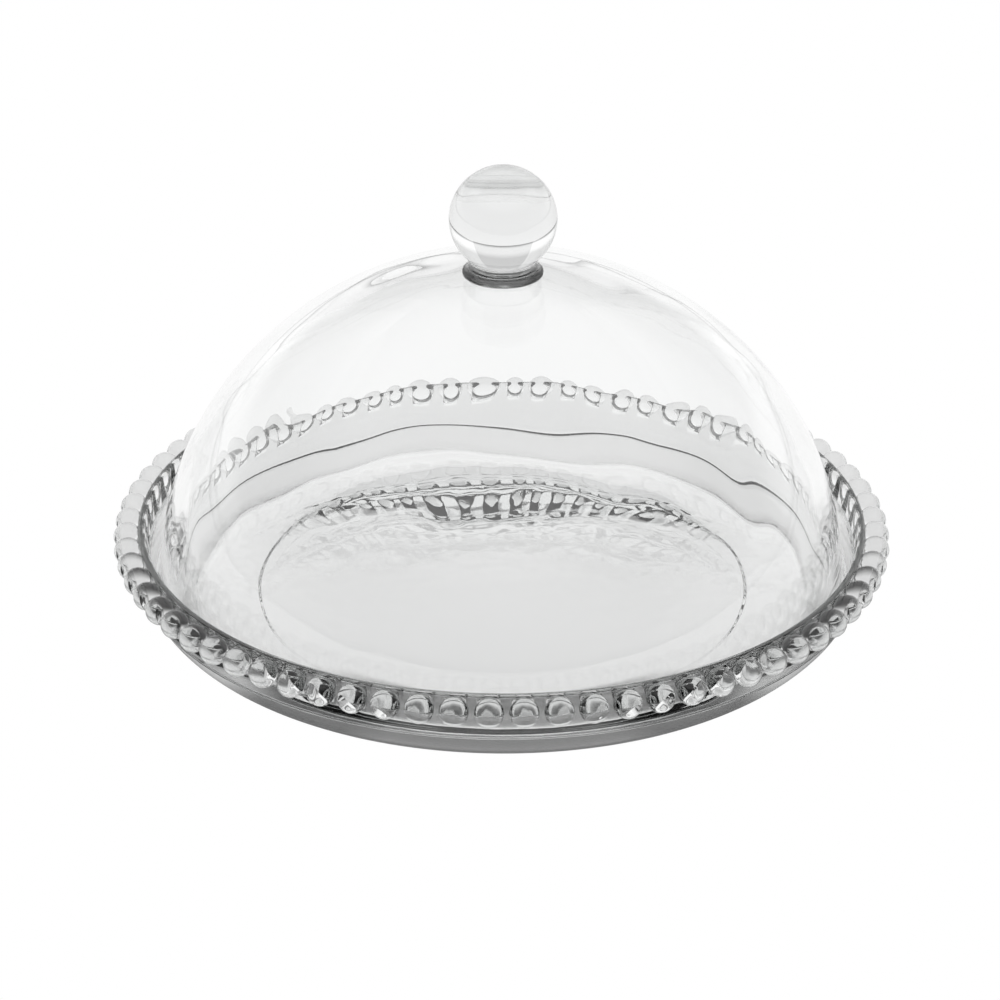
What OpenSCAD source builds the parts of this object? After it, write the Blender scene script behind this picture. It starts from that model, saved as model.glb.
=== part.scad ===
// Glass cheese dome: a pressed plate with a beaded rim, a blown dome that stands
// inside the rim, and a solid ball knob fixed on the crown of the dome.
// Millimetres. Z is up, and the origin is the centre of the foot, on the table.

/* [Plate] */
// Diameter of the circle that the bead centres lie on
bead_circle_d = 250; // [220:1:300]
// Number of beads round the rim
bead_count = 72; // [60:1:76]
// Diameter of one bead
bead_d = 9.4; // [8.5:0.1:9.8]
// Height of the bead centres above the table
bead_z = 24; // [22:0.5:28]
// Thickness of the floor over the recess of the foot
floor_t = 4; // [3:0.5:5]

/* [Dome] */
// Height of the dome from its rim to its crown
dome_h = 107.4; // [90:0.1:120]
// Thickness of the wall of the dome at its rim
dome_wall = 4.8; // [3:0.1:6]
// Thickness of the crown under the knob
crown_wall = 6; // [5:0.1:8]
// Power of the curve in plan and in height: 2 is an ellipse, and less is more pointed
dome_power = 1.93; // [1.8:0.01:2]

/* [Knob] */
// Diameter of the ball
ball_d = 35.2; // [30:0.1:40]
// Height of the ball's lowest point above the foot of the collar
ball_lift = 1.2; // [0.6:0.1:3]
// Diameter of the collar's foot, on the crown of the dome
collar_d = 26.4; // [24:0.1:28]
// Diameter of the waist between the collar and the ball
waist_d = 22; // [19:0.1:23]

/* [Hidden] */

// Facets of a full turn on the round parts, which only a preview uses
$fn = 144;
arc_steps = 10;

// Plate: places across its section, as radius from the axis and height above the table
rim_overhang = 3.4;                   // how far the bead centres lie outside the rim's face
rim_w = 2.2;                          // width of the rim's flat top
wall_slope = 3.1;                     // how far the inside of the rim slopes in to the seat
seat_w = 9;                           // width of the flat seat that the dome stands on
seat_z = 11;
well_slope = 6;                       // how far the step from the seat to the floor slopes in
belly = 18.1;                         // radius of the curve from the foot to the rim
foot_w = 20;                          // width of the foot's ring
recess = 1;                           // depth of the hollow inside the foot
rim_r = bead_circle_d / 2 - rim_overhang;
rim_z = bead_z + 4.3;
seat_outer_r = rim_r - rim_w - wall_slope;
seat_inner_r = seat_outer_r - seat_w;
foot_outer_r = rim_r - belly;
floor_z = recess + floor_t;

// Dome: the rim stands on the seat with play all round
play = 2;
rim_round = 1.2;                      // polished corners of the dome's rim
dome_r = seat_outer_r - play;
curve_steps = 24;
crowding = 1.7;                       // above 1, the curve's points crowd towards the crown

// Knob: the collar's foot is flat, on a flat of the crown that is a little wider
crown_flat_r = collar_d / 2 + 0.2;
knob_z = seat_z + dome_h * curve_height(crown_flat_r / dome_r);
ball_r = ball_d / 2;
ball_z = knob_z + ball_lift + ball_r;
waist_z = ball_z - sqrt(ball_r * ball_r - waist_d * waist_d / 4);

// Height of the dome's curve where it is this share of its widest, as a share of its own height
function curve_height(share) = pow(1 - pow(share, dome_power), 1 / dome_power);

// One corner of an outline as an arc: a is the corner before it, b is itself, c is the one after
function unit(v) = v / norm(v);
function turned(v, angle) = [v[0] * cos(angle) - v[1] * sin(angle), v[0] * sin(angle) + v[1] * cos(angle)];
function corner(a, b, c, radius) =
    let (
        back = unit(a - b),
        ahead = unit(c - b),
        half = acos(back * ahead) / 2,
        middle = b + unit(back + ahead) * radius / sin(half),
        spoke = b + back * radius / tan(half) - middle,
        sweep = (180 - 2 * half) * sign(ahead[0] * back[1] - ahead[1] * back[0])
    )
    radius == 0 ? [b] : [for (i = [0 : arc_steps]) middle + turned(spoke, sweep * i / arc_steps)];

// A closed outline from corners given as [radius from the axis, height, rounding]
function rounded(corners) =
    let (n = len(corners), point = [for (c = corners) [c[0], c[1]]])
    [for (i = [0 : n - 1]) each corner(point[(i + n - 1) % n], point[i], point[(i + 1) % n], corners[i][2])];

// Section of the plate: foot, belly, rim, seat and floor
module plate_section() {
    polygon(rounded([
        [0, recess, 0],
        [foot_outer_r - foot_w - recess, recess, 0],
        [foot_outer_r - foot_w, 0, 0],
        [rim_r, 0, belly],
        [rim_r, rim_z, 1.2],
        [rim_r - rim_w, rim_z, 0.9],
        [seat_outer_r, seat_z, 1.6],
        [seat_inner_r, seat_z, 0.8],
        [seat_inner_r - well_slope, floor_z, 6],
        [0, floor_z, 0]
    ]));
}

// Pressed in one piece: the beads are part of the plate's glass
module plate() {
    color([0.9, 0.93, 0.93, 0.45])
    union() {
        rotate_extrude() plate_section();
        // A third of a pitch past the half-way place, as the beads stand to the front of the dome
        for (i = [0 : bead_count - 1])
            rotate([0, 0, 360 * (i + 2 / 3) / bead_count])
                translate([bead_circle_d / 2, 0, bead_z])
                    sphere(d = bead_d, $fn = 48);
    }
}

// Dome curve of this radius and height above its rim, from near the rim to the share where it stops
function dome_curve(radius, height, last_share) =
    [for (i = [0 : curve_steps])
        let (
            share = 1 - (1 - last_share) * (1 - pow(1 - i / curve_steps, crowding)),
            rise = height * curve_height(share)
        )
        if (rise > rim_round + 0.5) [radius * share, seat_z + rise]];

// Solid shape of the outside of the dome, flat where the knob stands
module dome_outside() {
    polygon(concat(
        [[0, seat_z], [dome_r - rim_round, seat_z], [dome_r, seat_z + rim_round]],
        dome_curve(dome_r, dome_h, crown_flat_r / dome_r),
        [[0, knob_z]]
    ));
}

// Hollow inside the dome, open below and flared by the rounding of the rim
module dome_hollow() {
    inner_r = dome_r - dome_wall;
    polygon(concat(
        [[0, seat_z - 1], [inner_r + rim_round, seat_z - 1]],
        [[inner_r + rim_round, seat_z], [inner_r, seat_z + rim_round]],
        dome_curve(inner_r, knob_z - crown_wall - seat_z, 0)
    ));
}

// Blown in one piece
module dome() {
    color([0.93, 0.95, 0.95, 0.3])
    rotate_extrude() difference() {
        dome_outside();
        dome_hollow();
    }
}

// Solid ball on a short collar that flares out to a flat foot on the crown
module knob() {
    foot_r = collar_d / 2;
    waist_r = waist_d / 2;
    color([0.93, 0.95, 0.95, 0.5])
    union() {
        translate([0, 0, ball_z]) sphere(r = ball_r);
        rotate_extrude() polygon(concat(
            [[0, knob_z], [foot_r, knob_z]],
            [for (i = [0 : arc_steps])
                let (a = 90 * i / arc_steps)
                [foot_r - (foot_r - waist_r) * sin(a), waist_z - (waist_z - knob_z - 0.8) * cos(a)]],
            [[0, waist_z]]
        ));
    }
}

plate();
dome();
knob();
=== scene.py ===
import math

import bmesh
import bpy
from mathutils import Matrix, Vector, noise


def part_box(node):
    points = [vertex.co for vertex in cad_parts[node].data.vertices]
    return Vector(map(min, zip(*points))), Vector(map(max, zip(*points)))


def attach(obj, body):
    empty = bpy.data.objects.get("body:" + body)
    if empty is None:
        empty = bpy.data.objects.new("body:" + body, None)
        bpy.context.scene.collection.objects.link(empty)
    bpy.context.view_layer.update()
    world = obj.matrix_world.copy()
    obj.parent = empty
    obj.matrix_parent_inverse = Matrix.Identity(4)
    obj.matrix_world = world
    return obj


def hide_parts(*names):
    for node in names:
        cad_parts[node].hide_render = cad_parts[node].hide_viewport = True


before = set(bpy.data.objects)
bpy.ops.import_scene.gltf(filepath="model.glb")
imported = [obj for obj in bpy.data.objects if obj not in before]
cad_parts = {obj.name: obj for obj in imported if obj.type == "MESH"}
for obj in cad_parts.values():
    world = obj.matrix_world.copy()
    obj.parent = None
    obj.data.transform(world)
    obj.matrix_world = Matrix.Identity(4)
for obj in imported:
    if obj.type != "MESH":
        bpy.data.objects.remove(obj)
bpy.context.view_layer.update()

# ---- Plate ---------------------------------------------------------------------------------------
# The plate is soda-lime glass, pressed in one go in an iron mould: foot, belly, rim and beads are
# the same piece of glass, and the beads stand on the outer face of the rim. Fire polish leaves the
# surface bright but a little uneven.
MM = 0.001
FULL_TURN = 2 * math.pi
AROUND = 288
GLASS_IOR = 1.52

plate_low, plate_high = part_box("plate")
foot_z = plate_low.z
bead_r = 4.7 * MM
bead_count = 72
bead_phase = 2 / 3
bead_circle_r = plate_high.x - bead_r
bead_z = 24 * MM
rim_r = bead_circle_r - 3.4 * MM
rim_z = bead_z + 4.3 * MM
rim_w = 2.2 * MM
belly = 18.1 * MM
foot_outer_r = rim_r - belly
foot_w = 20 * MM
recess = 1 * MM
seat_outer_r = rim_r - rim_w - 3.1 * MM
seat_inner_r = seat_outer_r - 9 * MM
seat_z = 11 * MM
floor_z = 5 * MM
floor_r = seat_inner_r - 6 * MM


def round_off(bm, corner, rounding, steps):
    """Replaces a corner of a flat outline by an arc of this radius."""
    one, other = (e.other_vert(corner).co - corner.co for e in corner.link_edges)
    bmesh.ops.bevel(
        bm, geom=[corner], offset=rounding / math.tan(one.angle(other) / 2), offset_type="OFFSET",
        segments=steps, profile=0.5, affect="VERTICES", material=-1, clamp_overlap=False,
    )


def spin_outline(bm):
    """Spins the outline that bm holds a full turn about Z, leaving a closed solid with its faces outward."""
    bmesh.ops.delete(bm, geom=bm.faces[:], context="FACES_ONLY")
    along_axis = [e for e in bm.edges if all(abs(v.co.x) < 1e-7 for v in e.verts)]
    bmesh.ops.delete(bm, geom=along_axis, context="EDGES")
    bmesh.ops.spin(
        bm, geom=bm.verts[:] + bm.edges[:], cent=(0, 0, 0), axis=(0, 0, 1), angle=FULL_TURN,
        steps=AROUND, use_merge=True,
    )
    bmesh.ops.remove_doubles(bm, verts=bm.verts, dist=1e-6)
    bmesh.ops.recalc_face_normals(bm, faces=bm.faces)


def finished(bm, name):
    """The bmesh as a smooth-shaded object of the scene."""
    mesh = bpy.data.meshes.new(name)
    bm.to_mesh(mesh)
    bm.free()
    mesh.shade_smooth()
    piece = bpy.data.objects.new(name, mesh)
    bpy.context.scene.collection.objects.link(piece)
    return piece


class Look:
    """The node tree of a material or a world, whose sockets come wrapped as Signals."""

    def __init__(self, owner):
        owner.use_nodes = True
        self.owner = owner
        self.tree = owner.node_tree
        self.tree.nodes.clear()

    def node(self, kind, settings=None, **sockets):
        made = self.tree.nodes.new(kind)
        for key, value in (settings or {}).items():
            setattr(made, key, value)
        for key, value in sockets.items():
            entry = made.inputs[int(key[1:])] if key[0] == "_" else made.inputs[key.replace("_", " ")]
            if isinstance(value, Signal):
                self.tree.links.new(value.socket, entry)
            else:
                entry.default_value = value
        return made

    def signal(self, kind, output=0, settings=None, **sockets):
        return Signal(self, self.node(kind, settings, **sockets).outputs[output])

    def finish(self, output, surface, volume=None):
        end = self.node(output)
        self.tree.links.new(surface.outputs[0], end.inputs["Surface"])
        if volume:
            self.tree.links.new(volume.outputs[0], end.inputs["Volume"])
        return self.owner


class Signal:
    """One output socket of a Look, on which Python's operators add Math nodes."""

    def __init__(self, look, socket):
        self.look = look
        self.socket = socket

    def maths(self, operation, *values):
        inputs = {f"_{i}": value for i, value in enumerate(values)}
        return self.look.signal("ShaderNodeMath", settings={"operation": operation}, **inputs)

    def __add__(self, other):
        return self.maths("ADD", self, other)

    def __radd__(self, other):
        return self.maths("ADD", other, self)

    def __sub__(self, other):
        return self.maths("SUBTRACT", self, other)

    def __rsub__(self, other):
        return self.maths("SUBTRACT", other, self)

    def __mul__(self, other):
        return self.maths("MULTIPLY", self, other)

    def __rmul__(self, other):
        return self.maths("MULTIPLY", other, self)

    def __pow__(self, other):
        return self.maths("POWER", self, other)

    def __abs__(self):
        return self.maths("ABSOLUTE", self)

    def eased(self, start, stop, low=0.0, high=1.0):
        return self.look.signal(
            "ShaderNodeMapRange", settings={"interpolation_type": "SMOOTHSTEP"}, Value=self,
            From_Min=start, From_Max=stop, To_Min=low, To_Max=high,
        )


def glass(name, tint, depth, haze, ripple_size, ripple):
    """Clear glass: a tint that clouds a little, faint smears in its polish, and a ripple in its surface."""
    look = Look(bpy.data.materials.new(name))
    place = look.signal("ShaderNodeTexCoord", output="Object")
    cloud = look.signal("ShaderNodeTexNoise", Vector=place, Scale=22.0, Detail=2.0)
    smear = look.signal("ShaderNodeTexNoise", Vector=place, Scale=45.0, Detail=4.0, Roughness=0.6)
    waves = look.signal(
        "ShaderNodeTexNoise", Vector=place, Scale=1 / ripple_size, Detail=1.0, Roughness=0.4,
    )
    paler = [(1 + share) / 2 for share in tint]
    colour = look.signal(
        "ShaderNodeMix", output=2, settings={"data_type": "RGBA"}, _0=cloud, _6=(*tint, 1), _7=(*paler, 1),
    )
    bump = look.signal("ShaderNodeBump", Height=waves, Strength=ripple, Distance=0.4 * MM)
    body = look.node(
        "ShaderNodeBsdfPrincipled", Base_Color=colour, Roughness=smear ** 3 * haze, IOR=GLASS_IOR,
        Transmission_Weight=1.0, Normal=bump,
    )
    inside = look.node("ShaderNodeVolumeAbsorption", Color=(0.695, 0.705, 0.7, 1), Density=depth)
    return look.finish("ShaderNodeOutputMaterial", body, inside)


# The plate's section, as radius, height, rounding and the steps of that rounding
plate_outline = [
    (0, recess, 0, 0),
    (foot_outer_r - foot_w - recess, recess, 0.6 * MM, 2),
    (foot_outer_r - foot_w, foot_z, 0.5 * MM, 2),
    (rim_r, foot_z, belly, 22),
    (rim_r, rim_z, 1.2 * MM, 6),
    (rim_r - rim_w, rim_z, 0.9 * MM, 5),
    (seat_outer_r, seat_z, 1.6 * MM, 6),
    (seat_inner_r, seat_z, 0.8 * MM, 4),
    (floor_r, floor_z, 6 * MM, 8),
    (0, floor_z, 0, 0),
]
bm = bmesh.new()
corners = [bm.verts.new((r, 0, z)) for r, z, rounding, steps in plate_outline]
bm.faces.new(corners)
for corner, (r, z, rounding, steps) in zip(corners, plate_outline):
    if rounding:
        round_off(bm, corner, rounding, steps)
spin_outline(bm)
plate = finished(bm, "beaded_plate")

bm = bmesh.new()
for i in range(bead_count):
    place = (
        Matrix.Rotation(FULL_TURN * (i + bead_phase) / bead_count, 4, "Z")
        @ Matrix.Translation((bead_circle_r, 0, bead_z))
    )
    bmesh.ops.create_uvsphere(bm, u_segments=36, v_segments=18, radius=bead_r, matrix=place)
beads = finished(bm, "beads")

join = plate.modifiers.new("beads", "BOOLEAN")
join.operation = "UNION"
join.solver = "EXACT"
join.object = beads
joined = plate.evaluated_get(bpy.context.evaluated_depsgraph_get())
plate.data = bpy.data.meshes.new_from_object(joined)
plate.modifiers.clear()
bpy.data.objects.remove(beads)
plate.data.name = "beaded_plate"
plate.data.shade_smooth()
plate.data.materials.clear()
plate.data.materials.append(glass("pressed glass", (0.97, 0.973, 0.972), 12.0, 0.05, 11 * MM, 0.25))
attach(plate, "plate")
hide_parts("plate")

# ---- Dome ----------------------------------------------------------------------------------------
# The dome is one shell of blown glass. Its rim is cut flat and its corners are rounded, and it
# stands loose on the plate's seat, over a film of air. Blowing leaves the inside uneven, so that
# what is seen through it wavers.
dome_low, dome_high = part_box("dome")
dome_r = dome_high.x
dome_wall = 4.8 * MM
crown_wall = 6 * MM
crown_flat_r = 13.4 * MM
dome_power = 1.93
air_gap = 0.05 * MM
rest_z = dome_low.z + air_gap
dome_rise = dome_high.z - rest_z
dome_h = dome_rise / (1 - (crown_flat_r / dome_r) ** dome_power) ** (1 / dome_power)
hollow_r = dome_r - dome_wall
hollow_rise = dome_rise - crown_wall
rim_round = 1.2 * MM
plain_below = 0.03
swell = 0.5 * MM
dimple = 0.16 * MM


def dome_curve(radius, height, stop):
    """Points of a dome of this radius and height, up to stop and closer together towards it."""
    steps = 60
    for i in range(steps + 1):
        rise = stop * math.sin(math.pi / 2 * i / steps)
        yield radius * (1 - (rise / height) ** dome_power) ** (1 / dome_power), 0, rest_z + rise


bm = bmesh.new()
outside = [*dome_curve(dome_r, dome_h, dome_rise), (0, 0, dome_high.z)]
inside = [*dome_curve(hollow_r, hollow_rise, hollow_rise)]
points = [bm.verts.new(point) for point in inside[::-1] + outside]
points[0].co.x = 0
bm.faces.new(points)
for corner in points[len(inside) - 1:len(inside) + 1]:
    round_off(bm, corner, rim_round, 8)
spin_outline(bm)
# Only the inside is uneven, and it starts a little way above the rim
for v in bm.verts:
    rise = (v.co.z - rest_z) / hollow_rise
    spread = v.co.xy.length / hollow_r
    if rise > plain_below and rise ** dome_power + spread ** dome_power < 1.03:
        push = noise.noise(v.co * 26) * swell + noise.noise(v.co * 60 + Vector((3, 1, 7))) * dimple
        v.co += v.co.normalized() * push * min(1, (rise - plain_below) / 0.06)
dome = finished(bm, "glass_dome")
dome.data.materials.append(glass("blown glass", (0.98, 0.983, 0.982), 8.0, 0.03, 25 * MM, 0.15))
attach(dome, "dome")
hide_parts("dome")

# ---- Knob ----------------------------------------------------------------------------------------
# The knob is a solid ball of pressed glass on a short collar that flares out to a flat foot. The
# foot is fused to the flat of the crown, so it goes a little way into the dome's glass.
knob_low, knob_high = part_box("knob")
ball_r = knob_high.x
ball_z = knob_high.z - ball_r
collar_r = 13.2 * MM
waist_r = 11 * MM
waist_z = ball_z - math.sqrt(ball_r ** 2 - waist_r ** 2)
flare_z = knob_low.z + 0.8 * MM
flare_steps = 8
fused = 0.3 * MM


def next_ring(bm, ring, radius, height):
    """Draws an open ring of edges out to a new ring of this radius and height."""
    new = bmesh.ops.extrude_edge_only(bm, edges=ring)["geom"]
    ring = [e for e in new if isinstance(e, bmesh.types.BMEdge) and e.is_boundary]
    for v in {v for e in ring for v in e.verts}:
        flat = v.co.xy.normalized() * radius
        v.co = (flat.x, flat.y, height)
    return ring


bm = bmesh.new()
bmesh.ops.create_uvsphere(
    bm, u_segments=128, v_segments=96, radius=ball_r, matrix=Matrix.Translation((0, 0, ball_z)),
)
bmesh.ops.bisect_plane(
    bm, geom=bm.verts[:] + bm.edges[:] + bm.faces[:], plane_co=(0, 0, waist_z), plane_no=(0, 0, -1),
    clear_outer=True,
)
ring = [e for e in bm.edges if e.is_boundary]
for i in range(1, flare_steps + 1):
    a = math.pi / 2 * i / flare_steps
    r = collar_r - (collar_r - waist_r) * math.cos(a)
    z = waist_z - (waist_z - flare_z) * math.sin(a)
    ring = next_ring(bm, ring, r, z)
ring = next_ring(bm, ring, collar_r, knob_low.z - fused)
bmesh.ops.holes_fill(bm, edges=ring, sides=0)
bmesh.ops.recalc_face_normals(bm, faces=bm.faces)
knob = finished(bm, "ball_knob")
knob.data.materials.append(glass("knob glass", (0.96, 0.963, 0.962), 9.0, 0.03, 17 * MM, 0.1))
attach(knob, "dome")
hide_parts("knob")

# ---- Studio --------------------------------------------------------------------------------------
# The glass stands on a glowing table, which the camera itself doesn't see. The walls are grey, white
# only low down at the back, the ceiling is bright, and the side towards the camera is dark, which
# gives clear glass its dark outlines.
bm = bmesh.new()
spread = Matrix.Translation((0, 1.7, -0.3 * MM)) @ Matrix.Diagonal((2, 2.3, 1, 1))
bmesh.ops.create_grid(bm, x_segments=1, y_segments=1, size=1, matrix=spread)
table = finished(bm, "lit_table")
look = Look(bpy.data.materials.new("glowing table with painted shade"))
place = look.signal("ShaderNodeTexCoord", output="Object")
x = look.signal("ShaderNodeSeparateXYZ", output="X", Vector=place)
y = look.signal("ShaderNodeSeparateXYZ", output="Y", Vector=place)
r = (x ** 2 + y ** 2) ** 0.5
# The table's glow is painted, dimmer towards the front, and nothing casts a shadow on it. Painted
# shade dims it under the plate's rim, most of all under the front of its belly, and paints two dark
# patches on it out from the front quarters, where nothing lies.
# Painted shade on the table under the front of the plate's belly
painted_belly_shade = r.eased(0.074, 0.078) * r.eased(0.112, 0.116, 1, 0) * y.eased(-0.075, -0.055, 1, 0)
painted_belly_shade = painted_belly_shade * r.eased(0.096, 0.102, 0.9, 0.75)
# Painted shade: two dark patches on the table out from the front quarters, with nothing lying there
painted_dark_patches = r.eased(0.11, 0.116) * r.eased(0.16, 0.18, 1, 0) * y.eased(-0.03, 0, 1, 0)
painted_dark_patches = painted_dark_patches * abs(x).eased(0.035, 0.055)
# Painted shade on the table under the plate's rim, all round
painted_rim_shade = r.eased(0.1, 0.115) * r.eased(0.15, 0.19, 1, 0)
glow = y.eased(-0.12, 0.1, 0.76, 0.95) * (1 - painted_belly_shade) * (1 - 0.97 * painted_dark_patches) * (1 - 0.17 * painted_rim_shade)
lit = look.node(
    "ShaderNodeBsdfPrincipled", Base_Color=(0, 0, 0, 1), Emission_Color=glow, Emission_Strength=1.0,
    Roughness=0.9,
)
table.data.materials.append(look.finish("ShaderNodeOutputMaterial", lit))
table.visible_camera = False

# One sheet that glows white behind and below everything, and that only the camera sees
bm = bmesh.new()
bmesh.ops.create_grid(
    bm, x_segments=1, y_segments=1, size=20, matrix=Matrix.Translation((0, 0, -1 * MM)),
)
paper = finished(bm, "paper")
look = Look(bpy.data.materials.new("white paper"))
white = look.node("ShaderNodeEmission", Color=(1, 1, 1, 1), Strength=1.0)
paper.data.materials.append(look.finish("ShaderNodeOutputMaterial", white))
paper.visible_diffuse = False
paper.visible_glossy = False
paper.visible_transmission = False
paper.visible_shadow = False
paper.visible_volume_scatter = False

look = Look(bpy.data.worlds.new("studio"))
heading = look.signal("ShaderNodeTexCoord", output="Generated")
y = look.signal("ShaderNodeSeparateXYZ", output="Y", Vector=heading)
z = look.signal("ShaderNodeSeparateXYZ", output="Z", Vector=heading)
ceiling = 1.12
walls = y.eased(-0.9, 0.6, 0.3, 0.65) + 0.35 * y.eased(-0.2, 0.4) * z.eased(0.1, 0.25, 1, 0)
sky = walls + (ceiling - walls) * z.eased(0.45, 0.8)
room = look.node("ShaderNodeBackground", Color=sky * z.eased(-0.05, 0.02, 0.05, 1), Strength=1.0)
bpy.context.scene.world = look.finish("ShaderNodeOutputWorld", room)


def softbox(name, place, size, glow):
    """A flat lamp that faces the glass and glows evenly."""
    lamp = bpy.data.lights.new(name, "AREA")
    lamp.size = size
    lamp.energy = glow * size * size * math.pi
    softbox = bpy.data.objects.new(name, lamp)
    bpy.context.scene.collection.objects.link(softbox)
    softbox.location = place
    softbox.rotation_euler = Vector(place).to_track_quat("Z", "Y").to_euler()


softbox("left softbox", (-1.2, 1.2, 0.7), 1.4, 0.22)
softbox("right softbox", (1.2, 1.2, 0.7), 1.4, 0.22)

eye_place = (-0.00057, -1.2259, 0.6532)
look_down = 26.776
lean = 0.273
eye = bpy.data.cameras.new("camera")
eye.lens = 148.0
eye.sensor_width = 36.0
eye.clip_start = 0.05
camera = bpy.data.objects.new("camera", eye)
bpy.context.scene.collection.objects.link(camera)
camera.matrix_world = (
    Matrix.Translation(eye_place)
    @ Matrix.Rotation(math.radians(90 - look_down), 4, "X")
    @ Matrix.Rotation(math.radians(lean), 4, "Z")
)
bpy.context.scene.camera = camera
bpy.context.scene.view_settings.view_transform = "Standard"
# Light is turned back many times inside the beads and the belly before it comes out
bounces = 14
bpy.context.scene.cycles.max_bounces = bounces
bpy.context.scene.cycles.glossy_bounces = bounces
bpy.context.scene.cycles.transmission_bounces = bounces
